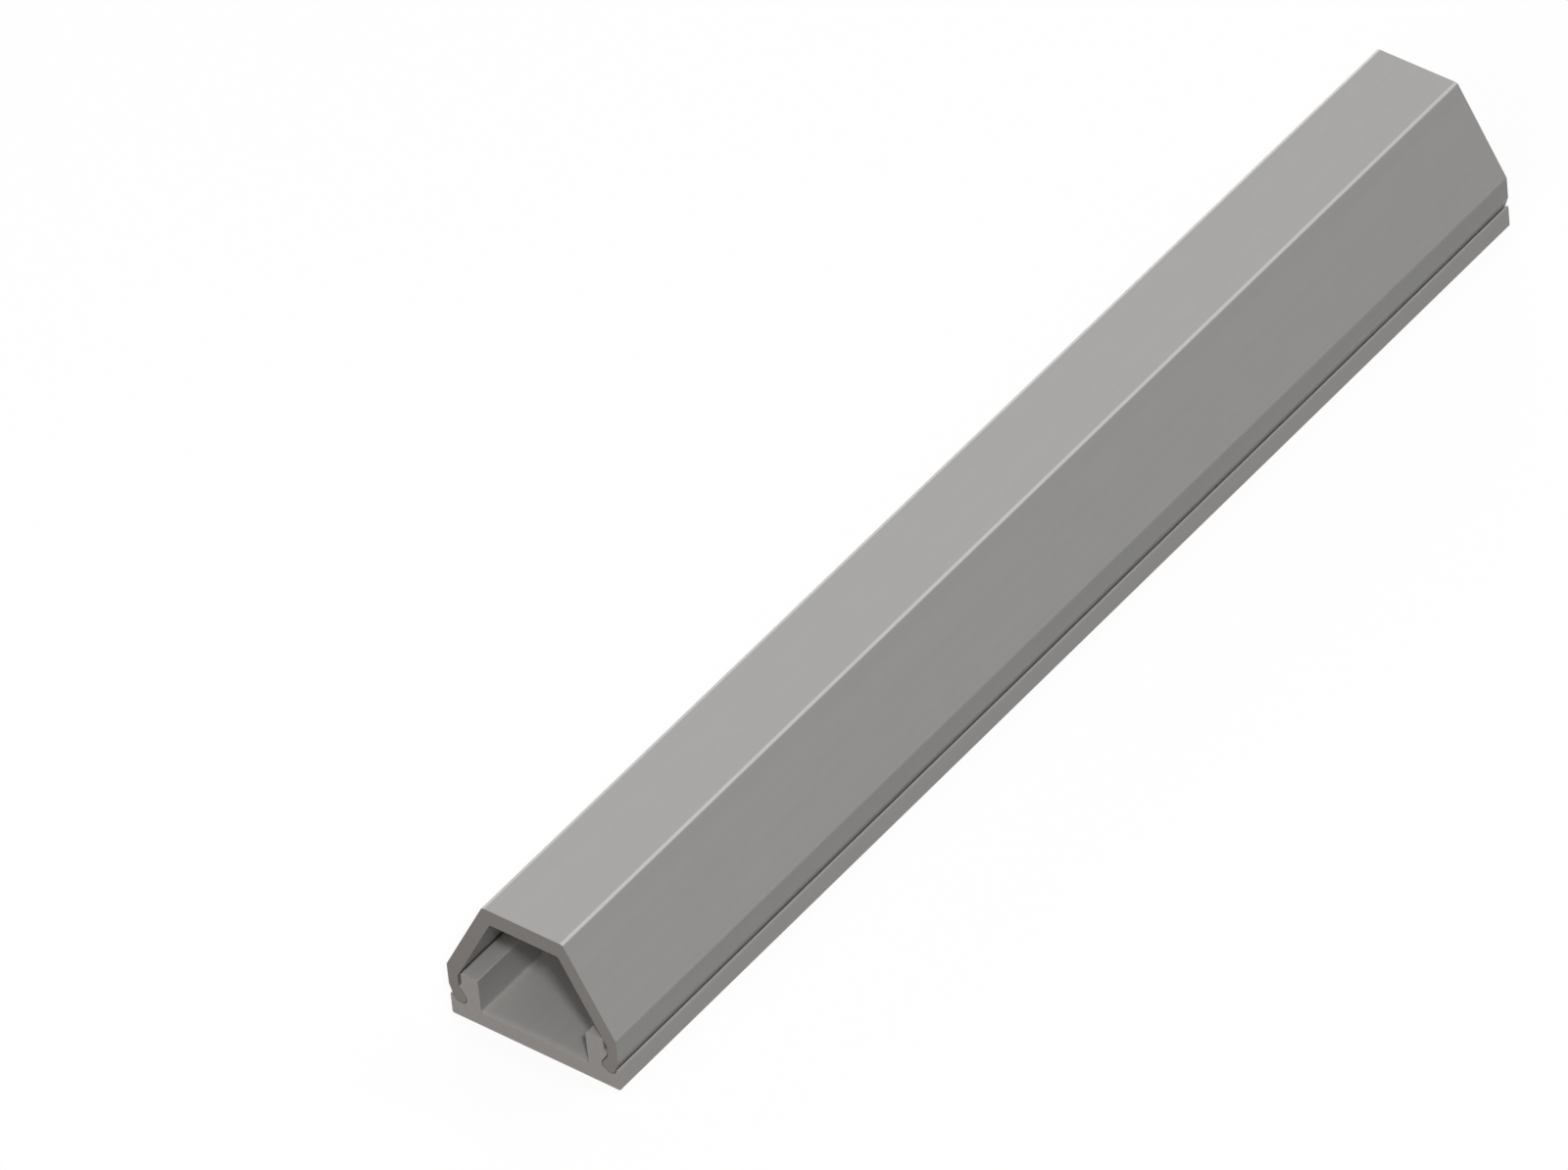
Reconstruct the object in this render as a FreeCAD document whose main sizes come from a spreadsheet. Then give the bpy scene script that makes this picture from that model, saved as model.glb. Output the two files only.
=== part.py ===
import FreeCAD, Part
import math
import os
import Sketcher

# Two-piece cord cover raceway: a flat base channel with a wall along each side,
# and a trapezoidal cover that snaps over the walls.
# Frame: +X along the raceway, +Y across it, +Z up from the surface it is fixed to.
# The origin is the middle of the underside.

# Driving sizes, in millimetres and degrees
SIZES = {
    "raceway_length": 160.0,     # cut length of the base and of the cover
    "overall_height": 18.0,      # underside of the base to the cover's top face
    "base_width": 22.2,          # across the base's two feet
    "floor_thickness": 1.95,     # base plate, and what is left under each socket
    "wall_height": 6.5,          # underside of the base to the wall's top
    "wall_thickness": 2.3,       # at the wall's top
    "wall_edge_radius": 0.2,     # rounding of the wall's two top edges
    "wall_root_radius": 0.4,     # fillet between wall and floor
    "foot_edge_radius": 0.2,     # rounding of the base's two bottom edges
    "foot_tip_land": 0.25,       # flat on top of the foot's raised outer tip
    "foot_tip_radius": 0.12,     # rounding of that tip's outer edge
    "flank_angle": 72.0,         # outer flank of socket and bead, from level
    "barb_angle": 35.0,          # barb's underside and bead's shoulder, from upright
    "barb_land": 0.2,            # height of the barb's crest
    "barb_lead_height": 0.45,    # height of the slope above the crest
    "barb_depth": 0.3,           # crest beyond the wall's upper face
    "barb_gap": 0.15,            # crest to the skirt's inner face
    "bead_radius": 0.85,         # rounded lower edge of the cover's skirt
    "snap_clearance": 0.12,      # between bead and socket, all round
    "top_width": 10.6,           # cover's flat top between its two edges
    "knee_height": 7.0,          # underside of the base to the cover's knee
    "knee_overhang": 0.05,       # knee and skirt beyond the base's side
    "top_thickness": 2.1,        # cover's flat top
    "side_thickness": 1.7,       # cover's sloped sides
    "skirt_thickness": 1.3,      # cover's skirt above the bead
    "cover_edge_radius": 0.45,   # rounding of the cover's outer edges
    "cover_inner_radius": 0.35,  # fillet in the cover's inner corners
}

HALF_BASE = "Sizes.base_width / 2"
HALF_COVER = HALF_BASE + " + Sizes.knee_overhang"
SKIRT_FACE = HALF_COVER + " - Sizes.skirt_thickness"
SOCKET_RADIUS = "Sizes.bead_radius + Sizes.snap_clearance"
SNAP_HEIGHT = "Sizes.floor_thickness + " + SOCKET_RADIUS


def make_sheet(doc):
    """The spreadsheet that holds the driving sizes, one alias a row."""
    sheet = doc.addObject("Spreadsheet::Sheet", "Sizes")
    for row, (alias, value) in enumerate(SIZES.items(), start=1):
        sheet.set(f"A{row}", alias)
        sheet.set(f"B{row}", str(value))
        sheet.setAlias(f"B{row}", alias)
    doc.recompute()
    return sheet


class Outline:
    """A closed outline in a sketch: each edge starts where the one before it ends."""

    def __init__(self, sketch, start):
        self.sketch = sketch
        self.first = start
        self.here = start
        self.edges = []
        self.ends = []

    def add(self, shape, first_end, last_end, target, tangent):
        index = self.sketch.addGeometry(shape, False)
        if self.edges:
            kind = "Tangent" if tangent else "Coincident"
            self.sketch.addConstraint(
                Sketcher.Constraint(kind, self.edges[-1], self.ends[-1], index, first_end))
        self.edges.append(index)
        self.ends.append(last_end)
        self.here = target
        return index

    def line(self, target, tangent=False):
        start, end = (FreeCAD.Vector(*spot, 0) for spot in (self.here, target))
        return self.add(Part.LineSegment(start, end), 1, 2, target, tangent)

    def clockwise_arc(self, centre, radius, target):
        """An arc that leaves the line before it smoothly, and turns clockwise."""
        circle = Part.Circle(FreeCAD.Vector(*centre, 0), FreeCAD.Vector(0, 0, 1), radius)
        angle_here, angle_target = (
            math.atan2(spot[1] - centre[1], spot[0] - centre[0]) for spot in (self.here, target))
        if angle_target > angle_here:
            angle_target -= 2 * math.pi
        arc = Part.ArcOfCircle(circle, angle_target, angle_here)
        return self.add(arc, 2, 1, target, True)

    def close(self):
        """The last edge, straight back to the first."""
        index = self.line(self.first)
        self.sketch.addConstraint(Sketcher.Constraint("Coincident", index, 2, self.edges[0], 1))
        return index


def bind(sketch, kind, places, expression):
    """Adds a dimension whose value is worked out from the sheet."""
    value = sketch.evalExpression(expression)
    if kind == "Angle":
        value = math.radians(value.Value)
    index = sketch.addConstraint(Sketcher.Constraint(kind, *places, value))
    sketch.setExpression(f"Constraints[{index}]", expression)


def from_origin(sketch, axis, point, expression):
    bind(sketch, "Distance" + axis, (-1, 1, *point), expression)


def between(sketch, axis, first, second, expression):
    bind(sketch, "Distance" + axis, (*first, *second), expression)


def new_section(doc, label):
    """A body with an empty sketch on its upright cross plane."""
    body = doc.addObject("PartDesign::Body", label)
    body.Label = label
    plane = next(item for item in body.Origin.OriginFeatures if item.Role == "YZ_Plane")
    sketch = body.newObject("Sketcher::SketchObject", label + "_section")
    sketch.AttachmentSupport = [(plane, "")]
    sketch.MapMode = "FlatFace"
    return body, sketch


def snap_centre():
    """Common centre of bead and socket, in the section."""
    across = SIZES["base_width"] / 2 + SIZES["knee_overhang"] - SIZES["skirt_thickness"]
    up = SIZES["floor_thickness"] + SIZES["bead_radius"] + SIZES["snap_clearance"]
    return across, up


def flank_point(radius):
    """Where the outer flank leaves a round of this radius about the snap centre."""
    across, up = snap_centre()
    angle = math.radians(SIZES["flank_angle"])
    return across + radius * math.sin(angle), up - radius * math.cos(angle)


def flank_height(radius, across):
    """Height of that flank this far from the middle."""
    start = flank_point(radius)
    return start[1] + (across - start[0]) * math.tan(math.radians(SIZES["flank_angle"]))


def shoulder_point(radius):
    """Where the barb's underside, or the bead's shoulder, leaves the round."""
    across, up = snap_centre()
    angle = math.radians(SIZES["barb_angle"])
    return across - radius * math.cos(angle), up + radius * math.sin(angle)


def shoulder_height(radius, across):
    """Height of that shoulder this far from the middle."""
    start = shoulder_point(radius)
    return start[1] + (across - start[0]) / math.tan(math.radians(SIZES["barb_angle"]))


def bind_snap(sketch, flank, arc, shoulder, radius):
    """Ties a flank, round and shoulder to the snap's centre, angles and radius."""
    bind(sketch, "Radius", (arc,), radius)
    from_origin(sketch, "X", (arc, 3), SKIRT_FACE)
    from_origin(sketch, "Y", (arc, 3), SNAP_HEIGHT)
    bind(sketch, "Angle", (-1, 1, flank, 2), "Sizes.flank_angle * 1 deg")
    bind(sketch, "Angle", (-1, 1, shoulder, 1), "90 deg - Sizes.barb_angle * 1 deg")


def draw_base(sketch):
    """Right half of the base's section: floor, foot with its socket, barbed wall."""
    half = SIZES["base_width"] / 2
    radius = SIZES["bead_radius"] + SIZES["snap_clearance"]
    tip = half - SIZES["foot_tip_land"]
    tip_height = flank_height(radius, tip)
    crest = snap_centre()[0] - SIZES["barb_gap"]
    crest_height = shoulder_height(radius, crest)
    crest_top = crest_height + SIZES["barb_land"]
    wall_face = crest - SIZES["barb_depth"]
    wall_inside = wall_face - SIZES["wall_thickness"]

    outline = Outline(sketch, (0, 0))
    underside = outline.line((half, 0))
    foot_side = outline.line((half, tip_height))
    tip_land = outline.line((tip, tip_height))
    flank = outline.line(flank_point(radius))
    socket = outline.clockwise_arc(snap_centre(), radius, shoulder_point(radius))
    barb_underside = outline.line((crest, crest_height), tangent=True)
    barb_crest = outline.line((crest, crest_top))
    barb_lead = outline.line((wall_face, crest_top + SIZES["barb_lead_height"]))
    wall_outside = outline.line((wall_face, SIZES["wall_height"]))
    wall_top = outline.line((wall_inside, SIZES["wall_height"]))
    wall_inner = outline.line((wall_inside, SIZES["floor_thickness"]))
    floor = outline.line((0, SIZES["floor_thickness"]))
    middle = outline.close()

    for level in (underside, tip_land, wall_top, floor):
        sketch.addConstraint(Sketcher.Constraint("Horizontal", level))
    for upright in (foot_side, barb_crest, wall_outside, wall_inner, middle):
        sketch.addConstraint(Sketcher.Constraint("Vertical", upright))
    sketch.addConstraint(Sketcher.Constraint("Coincident", underside, 1, -1, 1))
    bind_snap(sketch, flank, socket, barb_underside, SOCKET_RADIUS)
    from_origin(sketch, "X", (underside, 2), HALF_BASE)
    between(sketch, "X", (tip_land, 2), (tip_land, 1), "Sizes.foot_tip_land")
    from_origin(sketch, "X", (barb_crest, 1), SKIRT_FACE + " - Sizes.barb_gap")
    between(sketch, "Y", (barb_crest, 1), (barb_crest, 2), "Sizes.barb_land")
    between(sketch, "X", (barb_lead, 2), (barb_lead, 1), "Sizes.barb_depth")
    between(sketch, "Y", (barb_lead, 1), (barb_lead, 2), "Sizes.barb_lead_height")
    from_origin(sketch, "Y", (wall_top, 1), "Sizes.wall_height")
    between(sketch, "X", (wall_top, 2), (wall_top, 1), "Sizes.wall_thickness")
    from_origin(sketch, "Y", (floor, 2), "Sizes.floor_thickness")
    return wall_face, wall_inside, tip_height


def draw_cover(sketch):
    """Right half of the cover's section: flat top, sloped side, skirt with its bead."""
    top = SIZES["overall_height"]
    edge = (SIZES["top_width"] / 2, top)
    knee = (SIZES["base_width"] / 2 + SIZES["knee_overhang"], SIZES["knee_height"])
    slope = math.atan2(edge[1] - knee[1], knee[0] - edge[0])
    inner_top = top - SIZES["top_thickness"]
    inner_shift = SIZES["side_thickness"] / math.sin(slope) - SIZES["top_thickness"] / math.tan(slope)
    inner_edge = (edge[0] - inner_shift, inner_top)
    skirt_face = snap_centre()[0]
    inner_knee = (skirt_face, inner_top - (skirt_face - inner_edge[0]) * math.tan(slope))
    radius = SIZES["bead_radius"]

    outline = Outline(sketch, (0, top))
    top_face = outline.line(edge)
    side = outline.line(knee)
    skirt = outline.line((knee[0], flank_height(radius, knee[0])))
    flank = outline.line(flank_point(radius))
    bead = outline.clockwise_arc(snap_centre(), radius, shoulder_point(radius))
    shoulder = outline.line((skirt_face, shoulder_height(radius, skirt_face)), tangent=True)
    skirt_inside = outline.line(inner_knee)
    side_inside = outline.line(inner_edge)
    top_inside = outline.line((0, inner_top))
    middle = outline.close()

    for level in (top_face, top_inside):
        sketch.addConstraint(Sketcher.Constraint("Horizontal", level))
    for upright in (skirt, skirt_inside, middle):
        sketch.addConstraint(Sketcher.Constraint("Vertical", upright))
    bind_snap(sketch, flank, bead, shoulder, "Sizes.bead_radius")
    sketch.addConstraint(Sketcher.Constraint("PointOnObject", top_face, 1, -2))
    from_origin(sketch, "Y", (top_face, 1), "Sizes.overall_height")
    from_origin(sketch, "X", (top_face, 2), "Sizes.top_width / 2")
    from_origin(sketch, "X", (side, 2), HALF_COVER)
    from_origin(sketch, "Y", (side, 2), "Sizes.knee_height")
    from_origin(sketch, "X", (skirt_inside, 1), SKIRT_FACE)
    from_origin(sketch, "Y", (top_inside, 2), "Sizes.overall_height - Sizes.top_thickness")
    sketch.addConstraint(Sketcher.Constraint("Parallel", side_inside, side))
    bind(sketch, "Distance", (side_inside, 2, side), "Sizes.side_thickness")
    return edge, knee, inner_edge, inner_knee


def extrude_and_mirror(body, sketch):
    """Pads the half section along the raceway, both ways, and mirrors it across the middle."""
    pad = body.newObject("PartDesign::Pad", body.Label + "_length")
    pad.Profile = sketch
    pad.Midplane = True
    pad.setExpression("Length", "Sizes.raceway_length")
    body.Document.recompute()
    mirrored = body.newObject("PartDesign::Mirrored", body.Label + "_both_sides")
    mirrored.Originals = [pad]
    mirrored.MirrorPlane = (sketch, ["V_Axis"])
    mirrored.Refine = True
    body.Tip = mirrored
    body.Document.recompute()
    return mirrored


def round_edges(body, feature, corners, alias):
    """Rounds the lengthwise edges that pass through these corners of the section."""
    picked = []
    for number, edge in enumerate(feature.Shape.Edges, start=1):
        middle = edge.CenterOfMass
        spot = (abs(middle.y), middle.z)
        if any(math.dist(spot, corner) < 1e-4 for corner in corners):
            picked.append(f"Edge{number}")
    if len(picked) != 2 * len(corners):
        raise RuntimeError(f"{alias}: {len(picked)} edges found for {len(corners)} corners")
    fillet = body.newObject("PartDesign::Fillet", f"{body.Label}_{alias}")
    fillet.Base = (feature, picked)
    fillet.setExpression("Radius", "Sizes." + alias)
    body.Tip = fillet
    body.Document.recompute()
    return fillet


def make_base(doc):
    """The base channel: one extruded piece."""
    body, sketch = new_section(doc, "base_channel")
    wall_face, wall_inside, tip_height = draw_base(sketch)
    feature = extrude_and_mirror(body, sketch)
    top = SIZES["wall_height"]
    side = SIZES["base_width"] / 2
    feature = round_edges(body, feature, [(wall_face, top), (wall_inside, top)],
                          "wall_edge_radius")
    feature = round_edges(body, feature, [(wall_inside, SIZES["floor_thickness"])],
                          "wall_root_radius")
    feature = round_edges(body, feature, [(side, tip_height)], "foot_tip_radius")
    round_edges(body, feature, [(side, 0)], "foot_edge_radius")
    return body


def make_cover(doc):
    """The cover that snaps over the walls: one extruded piece."""
    body, sketch = new_section(doc, "snap_cover")
    edge, knee, inner_edge, inner_knee = draw_cover(sketch)
    feature = extrude_and_mirror(body, sketch)
    feature = round_edges(body, feature, [edge, knee], "cover_edge_radius")
    round_edges(body, feature, [inner_edge, inner_knee], "cover_inner_radius")
    return body


def check(doc, bodies):
    """Stops before anything is written if an object failed or a solid is not sound."""
    for item in doc.Objects:
        if "Invalid" in item.State or "Error" in item.State:
            raise RuntimeError(f"{item.Name} did not compute: {item.State}")
    for body in bodies:
        if body.Shape.isNull() or not body.Shape.isValid() or len(body.Shape.Solids) != 1:
            raise RuntimeError(f"{body.Label} is not one sound solid")


def main():
    doc = FreeCAD.newDocument("cord_cover_raceway")
    make_sheet(doc)
    bodies = [make_base(doc), make_cover(doc)]
    doc.recompute()
    check(doc, bodies)
    os.makedirs("parts", exist_ok=True)
    for body in bodies:
        body.Shape.exportStep(f"parts/{body.Label}.step")
        box = body.Shape.BoundBox
        print(f"{body.Label}: {box.XLength:.2f} x {box.YLength:.2f} x {box.ZLength:.2f} mm, "
              f"{body.Shape.Volume / 1000:.2f} cm3")


main()
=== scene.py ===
import math

import bpy
from mathutils import Matrix, Quaternion, Vector


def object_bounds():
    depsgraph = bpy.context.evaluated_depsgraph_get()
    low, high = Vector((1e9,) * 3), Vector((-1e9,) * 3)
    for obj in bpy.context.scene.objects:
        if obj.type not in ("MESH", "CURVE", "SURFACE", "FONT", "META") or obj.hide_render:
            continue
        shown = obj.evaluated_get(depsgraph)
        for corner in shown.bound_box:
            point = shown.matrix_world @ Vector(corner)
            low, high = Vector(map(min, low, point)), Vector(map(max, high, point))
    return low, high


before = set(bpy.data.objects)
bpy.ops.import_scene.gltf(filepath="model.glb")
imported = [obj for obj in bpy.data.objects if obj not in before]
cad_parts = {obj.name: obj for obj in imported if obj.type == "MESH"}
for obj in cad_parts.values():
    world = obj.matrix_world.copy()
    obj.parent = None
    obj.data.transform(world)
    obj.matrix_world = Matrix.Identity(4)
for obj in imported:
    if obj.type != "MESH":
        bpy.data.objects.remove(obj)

cad_low, cad_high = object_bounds()

# Everything is in metres, in the part's frame: +X along the raceway, +Y across it, +Z up.
# The materials work on coordinates scaled to millimetres, so what they measure is in millimetres.
MILLIMETRES = 1000.0

# Camera: the photo's view, through a long lens
CAMERA_AIM = Vector((-0.01501, 0.01570, 0.00787))
CAMERA_AZIMUTH = math.radians(-49.0)
CAMERA_ELEVATION = math.radians(42.27)
CAMERA_ROLL = math.radians(-6.0)
CAMERA_DISTANCE = 2.0857
LENS_MM = 450.0
SENSOR_MM = 36.0

# Lamps: direction from the object, size across and along the raceway, and radiance, where 1 is white
LAMP_DISTANCE = 1.5
LAMPS = {
    "overhead": {"direction": (0.0, 0.0, 1.0), "across": 0.9, "along": 0.4, "radiance": 6.2},
    "edge_lamp": {"direction": (0.56, -0.41, 0.72), "across": 1.6, "along": 0.25, "radiance": 1.6},
    "end_lamp": {"direction": (-0.81, -0.16, 0.51), "across": 0.6, "along": 0.6, "radiance": 2.3},
    "key_lamp": {"direction": (-0.490, -0.490, 0.721), "across": 0.12, "along": 0.12, "radiance": 121.0},
    "back_lamp": {"direction": (0.72, 0.65, 0.26), "across": 0.6, "along": 0.6, "radiance": 3.5},
}
WORLD_STRENGTH = 0.215
WHITE = 1.0

# Floor: a sheet just under the object. The camera and reflections see its white glow, which lights
# nothing but what lies within contact reach of it.
FLOOR_SIZE = 8.0
FLOOR_COLOUR = (0.14, 0.14, 0.14, 1.0)
FLOOR_GLOW = 0.88
FLOOR_DROP = 0.00005
CONTACT_REACH = 0.0002

# Colours of the two extrusions, linear: the drawn skin, and the plastic laid bare by the saw
COVER_GREY = (0.385, 0.380, 0.372)
COVER_SAWN_GREY = (0.362, 0.339, 0.320)
BASE_GREY = (0.475, 0.460, 0.446)
BASE_SAWN_GREY = (0.553, 0.518, 0.496)
VINYL_IOR = 1.52

# Noise patterns: how long their lumps are in X, Y and Z, and how much detail they have
STREAKS = {"lumps": (300.0, 0.9, 0.9), "detail": 3.0}
FINE_LINES = {"lumps": (120.0, 0.16, 0.16), "detail": 2.0}
CLOUDS = {"lumps": (6.0, 3.0, 3.0), "detail": 3.0}
SKIN_GRAIN = {"lumps": (0.25, 0.12, 0.12), "detail": 2.0}
KERF_MARKS = {"lumps": (5.0, 0.18, 11.0), "detail": 2.0}
TORN_GRAIN = {"lumps": (0.2, 0.2, 0.2), "detail": 4.0}
NOISE_LOW = 0.3
NOISE_HIGH = 0.7

# Drawn skin: how far the patterns change its tone, the range of its roughness, and the grain's height
# as a share of the fine lines' height
STREAK_TONE = 0.015
CLOUD_TONE = 0.008
SKIN_ROUGHNESS_LOW = 0.38
SKIN_ROUGHNESS_HIGH = 0.48
SKIN_GRAIN_HEIGHT = 0.35

# Sawn ends: the kerf marks' slant, how far the patterns change the tone, the roughness, the torn
# grain's height as a share of the marks', and how squarely a face looks along X to count as sawn
KERF_TILT = math.radians(24.0)
KERF_TONE = 0.03
TORN_TONE = 0.04
SAWN_ROUGHNESS = 0.68
TORN_HEIGHT = 2.5
SAWN_FACING_LOW = 0.6
SAWN_FACING_HIGH = 0.9

# Relief of skin and sawn ends, with its depth in metres
BUMP_STRENGTH = 0.35
BUMP_DEPTH = 0.00001

# Painted highlight on the cover's two top edges, a paler line that is also smoother: how far it lies past
# the flat top, how far it stays full and reaches to each side, and what it does to tone and roughness
EDGE_HIGHLIGHT_OUT = 0.12
EDGE_HIGHLIGHT_FULL = 0.08
EDGE_HIGHLIGHT_END = 0.30
EDGE_HIGHLIGHT_TONE = 1.56
EDGE_HIGHLIGHT_ROUGHNESS = 0.6

# Painted light on the faces inside the base that look up, which are made paler: how much paler they are, how
# far from the middle they reach and fade out, and how squarely a face looks up to count as one
BASE_UPLIT_TONE = 1.2
UPLIT_REACH = 9.8
UPLIT_FADE = 0.4
UPLIT_FACING_LOW = 0.3
UPLIT_FACING_HIGH = 0.8

# How far below the highest point a vertex of the flat top may lie, in metres
FLAT_TOLERANCE = 1e-6


def add_node(tree, kind, inputs=None, **settings):
    """A shader node with its settings; an input is a socket to link or a value to set."""
    node = tree.nodes.new(kind)
    for name, value in settings.items():
        setattr(node, name, value)
    for name, value in (inputs or {}).items():
        if isinstance(value, bpy.types.NodeSocket):
            tree.links.new(value, node.inputs[name])
        else:
            node.inputs[name].default_value = value
    return node


def math_node(tree, operation, first, second=0.0, third=0.0):
    """The result of a Math node."""
    node = add_node(tree, "ShaderNodeMath", {0: first, 1: second, 2: third}, operation=operation)
    return node.outputs[0]


def band(tree, value, low, high, low_result, high_result):
    """Value taken smoothly from one range to another, and held at its ends."""
    inputs = {"Value": value, "From Min": low, "From Max": high, "To Min": low_result, "To Max": high_result}
    return add_node(tree, "ShaderNodeMapRange", inputs, interpolation_type="SMOOTHSTEP").outputs["Result"]


def mix(tree, part, first, second):
    """The first value where part is 0, and the second where it is 1."""
    # A Mix node has a pair of inputs and an output for each data type: 2, 3 and 0 are for numbers
    return add_node(tree, "ShaderNodeMix", {0: part, 2: first, 3: second}).outputs[0]


def mix_colours(tree, part, first, second):
    """The first colour where part is 0, and the second where it is 1."""
    # Inputs 4 and 5 and output 1 are for vectors
    inputs = {0: part, 4: Vector(first), 5: Vector(second)}
    return add_node(tree, "ShaderNodeMix", inputs, data_type="VECTOR").outputs[1]


def noise(tree, place, lumps, detail):
    """Noise whose lumps are this many millimetres long in X, Y and Z."""
    scaled = add_node(tree, "ShaderNodeVectorMath", {0: place, 1: Vector(lumps)}, operation="DIVIDE")
    inputs = {"Vector": scaled.outputs[0], "Scale": 1.0, "Detail": detail}
    return add_node(tree, "ShaderNodeTexNoise", inputs).outputs["Fac"]


def spread(tree, pattern, low, high):
    """A noise pattern, taken from its usual range to this one."""
    return band(tree, pattern, NOISE_LOW, NOISE_HIGH, low, high)


def drawn_skin(tree, place):
    """Tone, roughness and height of the drawn skin: lines along the extrusion, faint clouds and grain."""
    streaks = noise(tree, place, **STREAKS)
    fine_lines = noise(tree, place, **FINE_LINES)
    clouds = noise(tree, place, **CLOUDS)
    grain = noise(tree, place, **SKIN_GRAIN)
    tone = math_node(tree, "ADD", spread(tree, streaks, 1.0 - STREAK_TONE, 1.0 + STREAK_TONE),
                     spread(tree, clouds, -CLOUD_TONE, CLOUD_TONE))
    roughness = spread(tree, fine_lines, SKIN_ROUGHNESS_LOW, SKIN_ROUGHNESS_HIGH)
    height = math_node(tree, "MULTIPLY_ADD", grain, SKIN_GRAIN_HEIGHT, fine_lines)
    return tone, roughness, height


def sawn_end(tree, place):
    """Tone and height of a sawn end: faint slanting kerf marks over torn grain."""
    tilted = add_node(tree, "ShaderNodeVectorRotate", {"Vector": place, "Angle": KERF_TILT},
                      rotation_type="X_AXIS")
    marks = noise(tree, tilted.outputs[0], **KERF_MARKS)
    torn = noise(tree, place, **TORN_GRAIN)
    tone = math_node(tree, "ADD", spread(tree, marks, 1.0 - KERF_TONE, 1.0 + KERF_TONE),
                     spread(tree, torn, -TORN_TONE, TORN_TONE))
    height = math_node(tree, "MULTIPLY_ADD", torn, TORN_HEIGHT, marks)
    return tone, height


def near_highlight_line(tree, side, height, highlight_line):
    """1 on the painted highlight line, which runs along both sides, and 0 away from it."""
    across = math_node(tree, "SUBTRACT", side, highlight_line[0])
    up = math_node(tree, "SUBTRACT", height, highlight_line[1])
    squares = math_node(tree, "ADD", math_node(tree, "MULTIPLY", across, across),
                        math_node(tree, "MULTIPLY", up, up))
    away = math_node(tree, "SQRT", squares)
    return band(tree, away, EDGE_HIGHLIGHT_FULL, EDGE_HIGHLIGHT_END, 1.0, 0.0)


def vinyl(name, skin_colour, sawn_colour, highlight_line=None, uplit_tone=1.0):
    """Rigid vinyl as it leaves the die: satin, faintly drawn lengthwise, rougher where it was sawn.

    The line argument is the distance from the middle and the height of a painted highlight line, which is
    also smoother, if there is one; the tone argument is how much paler the faces that look up are made, as
    painted light.
    """
    material = bpy.data.materials.new(name)
    material.use_nodes = True
    tree = material.node_tree
    shader = tree.nodes["Principled BSDF"]
    coordinates = add_node(tree, "ShaderNodeTexCoord")
    place = add_node(tree, "ShaderNodeVectorMath", {0: coordinates.outputs["Object"], "Scale": MILLIMETRES},
                     operation="SCALE").outputs[0]
    parts = add_node(tree, "ShaderNodeSeparateXYZ", {0: place})
    side = math_node(tree, "ABSOLUTE", parts.outputs["Y"])
    facing = add_node(tree, "ShaderNodeSeparateXYZ", {0: coordinates.outputs["Normal"]})
    endwise = math_node(tree, "ABSOLUTE", facing.outputs["X"])
    sawn = band(tree, endwise, SAWN_FACING_LOW, SAWN_FACING_HIGH, 0.0, 1.0)

    skin_tone, skin_roughness, skin_height = drawn_skin(tree, place)
    sawn_tone, sawn_height = sawn_end(tree, place)
    colour = mix_colours(tree, sawn, skin_colour, sawn_colour)
    tone = mix(tree, sawn, skin_tone, sawn_tone)
    roughness = mix(tree, sawn, skin_roughness, SAWN_ROUGHNESS)
    height = mix(tree, sawn, skin_height, sawn_height)

    # Top edges: a painted highlight, paler, and also smoother
    if highlight_line:
        highlight_and_smooth = math_node(tree, "MULTIPLY", near_highlight_line(tree, side, parts.outputs["Z"], highlight_line),
                           math_node(tree, "SUBTRACT", 1.0, sawn))
        tone = math_node(tree, "MULTIPLY", tone, band(tree, highlight_and_smooth, 0.0, 1.0, 1.0, EDGE_HIGHLIGHT_TONE))
        roughness = math_node(tree, "MULTIPLY", roughness,
                              band(tree, highlight_and_smooth, 0.0, 1.0, 1.0, EDGE_HIGHLIGHT_ROUGHNESS))

    # What faces up between the feet is made paler: painted light
    uplit_inside = band(tree, side, UPLIT_REACH, UPLIT_REACH + UPLIT_FADE, uplit_tone, 1.0)
    painted_uplight = band(tree, facing.outputs["Z"], UPLIT_FACING_LOW, UPLIT_FACING_HIGH, 1.0, uplit_inside)
    tone = math_node(tree, "MULTIPLY", tone, painted_uplight)

    tinted = add_node(tree, "ShaderNodeVectorMath", {0: colour, "Scale": tone}, operation="SCALE")
    bump = add_node(tree, "ShaderNodeBump",
                    {"Strength": BUMP_STRENGTH, "Distance": BUMP_DEPTH, "Height": height})
    tree.links.new(tinted.outputs[0], shader.inputs["Base Color"])
    tree.links.new(roughness, shader.inputs["Roughness"])
    tree.links.new(bump.outputs["Normal"], shader.inputs["Normal"])
    shader.inputs["IOR"].default_value = VINYL_IOR
    return material


def show_white(tree, strength):
    """This strength for rays that see the surface straight, mirrored or through glass, and else 0."""
    path = add_node(tree, "ShaderNodeLightPath")
    seen = math_node(tree, "MAXIMUM", path.outputs["Is Camera Ray"], path.outputs["Is Glossy Ray"])
    seen = math_node(tree, "MAXIMUM", seen, path.outputs["Is Transmission Ray"])
    return math_node(tree, "MULTIPLY", seen, strength)


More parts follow.
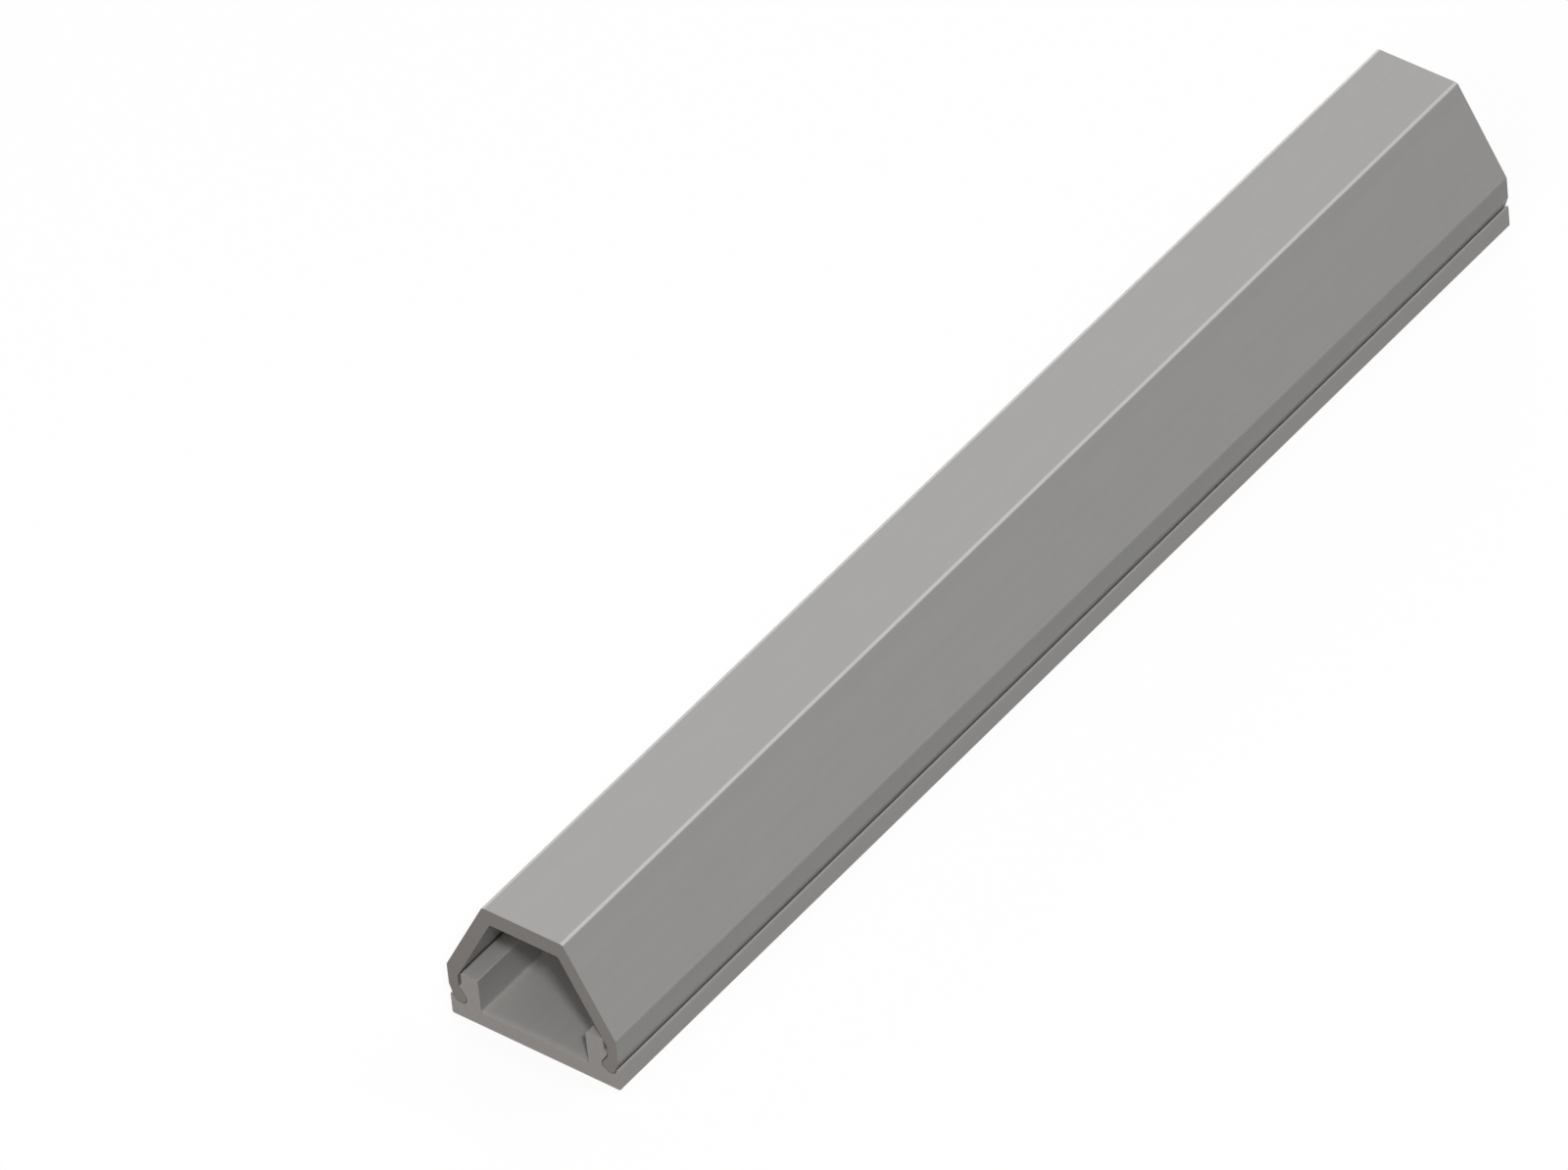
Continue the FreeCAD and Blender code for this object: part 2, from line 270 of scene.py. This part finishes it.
def make_floor():
    """A plain white floor that still takes the object's shadow, and is clear when seen from below."""
    mesh = bpy.data.meshes.new("floor")
    half = FLOOR_SIZE / 2
    corners = [(-half, -half, 0), (half, -half, 0), (half, half, 0), (-half, half, 0)]
    mesh.from_pydata(corners, [], [(0, 1, 2, 3)])
    floor = bpy.data.objects.new("floor", mesh)
    floor.location.z = -FLOOR_DROP
    bpy.context.scene.collection.objects.link(floor)
    material = bpy.data.materials.new("floor_white")
    material.use_nodes = True
    material.cycles.emission_sampling = "NONE"
    tree = material.node_tree
    tree.nodes.clear()
    matte = add_node(tree, "ShaderNodeBsdfDiffuse", {"Color": FLOOR_COLOUR})

    # The object's underside, which nearly touches the floor, is lit by it
    reach = add_node(tree, "ShaderNodeLightPath").outputs["Ray Length"]
    touching = math_node(tree, "LESS_THAN", reach, CONTACT_REACH)
    contact_glow = math_node(tree, "MULTIPLY", touching, FLOOR_GLOW)
    strength = math_node(tree, "MAXIMUM", show_white(tree, FLOOR_GLOW), contact_glow)
    glow = add_node(tree, "ShaderNodeEmission", {"Strength": strength})
    above = add_node(tree, "ShaderNodeAddShader", {0: matte.outputs[0], 1: glow.outputs[0]})
    below = add_node(tree, "ShaderNodeBsdfTransparent")
    backfacing = add_node(tree, "ShaderNodeNewGeometry").outputs["Backfacing"]
    both = add_node(tree, "ShaderNodeMixShader", {0: backfacing, 1: above.outputs[0], 2: below.outputs[0]})
    add_node(tree, "ShaderNodeOutputMaterial", {"Surface": both.outputs[0]})
    mesh.materials.append(material)


def make_world():
    """Dim and even light from all round, which shows as white behind the object."""
    world = bpy.data.worlds.new("studio")
    world.use_nodes = True
    tree = world.node_tree
    background = tree.nodes["Background"]
    background.inputs["Color"].default_value = (1.0, 1.0, 1.0, 1.0)
    extra = show_white(tree, WHITE - WORLD_STRENGTH)
    tree.links.new(math_node(tree, "ADD", extra, WORLD_STRENGTH), background.inputs["Strength"])
    bpy.context.scene.world = world


def make_lamp(name, direction, across, along, radiance):
    """A soft rectangular lamp that faces the object, one side of it square to the raceway."""
    lamp = bpy.data.lights.new(name, "AREA")
    lamp.shape = "RECTANGLE"
    lamp.size = across
    lamp.size_y = along
    lamp.energy = radiance * math.pi * across * along
    away = Vector(direction).normalized()
    side = away.cross(Vector((1, 0, 0))).normalized()
    holder = bpy.data.objects.new(name, lamp)
    holder.matrix_world = Matrix((side, away.cross(side), away)).transposed().to_4x4()
    holder.location = away * LAMP_DISTANCE
    bpy.context.scene.collection.objects.link(holder)


def make_camera():
    """The camera, on the photo's side of the object."""
    camera = bpy.data.cameras.new("camera")
    camera.lens = LENS_MM
    camera.sensor_width = SENSOR_MM
    camera.sensor_fit = "HORIZONTAL"
    back = Vector((math.sin(CAMERA_AZIMUTH) * math.cos(CAMERA_ELEVATION),
                   -math.cos(CAMERA_AZIMUTH) * math.cos(CAMERA_ELEVATION),
                   math.sin(CAMERA_ELEVATION)))
    holder = bpy.data.objects.new("camera", camera)
    holder.rotation_mode = "QUATERNION"
    holder.rotation_quaternion = back.to_track_quat("Z", "Y") @ Quaternion((0, 0, 1), CAMERA_ROLL)
    holder.location = CAMERA_AIM + back * CAMERA_DISTANCE
    bpy.context.scene.collection.objects.link(holder)
    bpy.context.scene.camera = holder


def edge_highlight_line(node):
    """The painted highlight line beside the node's flat top: its distance from the middle and its height."""
    top = cad_high.z
    flat = max(abs(v.co.y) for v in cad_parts[node].data.vertices if top - v.co.z < FLAT_TOLERANCE)
    return flat * MILLIMETRES + EDGE_HIGHLIGHT_OUT, top * MILLIMETRES


cover_highlight_line = edge_highlight_line("snap_cover")
cover_vinyl = vinyl("cover_vinyl_satin", COVER_GREY, COVER_SAWN_GREY, highlight_line=cover_highlight_line)
base_vinyl = vinyl("base_vinyl_satin", BASE_GREY, BASE_SAWN_GREY, uplit_tone=BASE_UPLIT_TONE)
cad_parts["snap_cover"].material_slots[0].material = cover_vinyl
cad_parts["base_channel"].material_slots[0].material = base_vinyl

make_floor()
make_world()
for lamp_name, settings in LAMPS.items():
    make_lamp(lamp_name, **settings)
make_camera()
bpy.context.scene.view_settings.view_transform = "Standard"
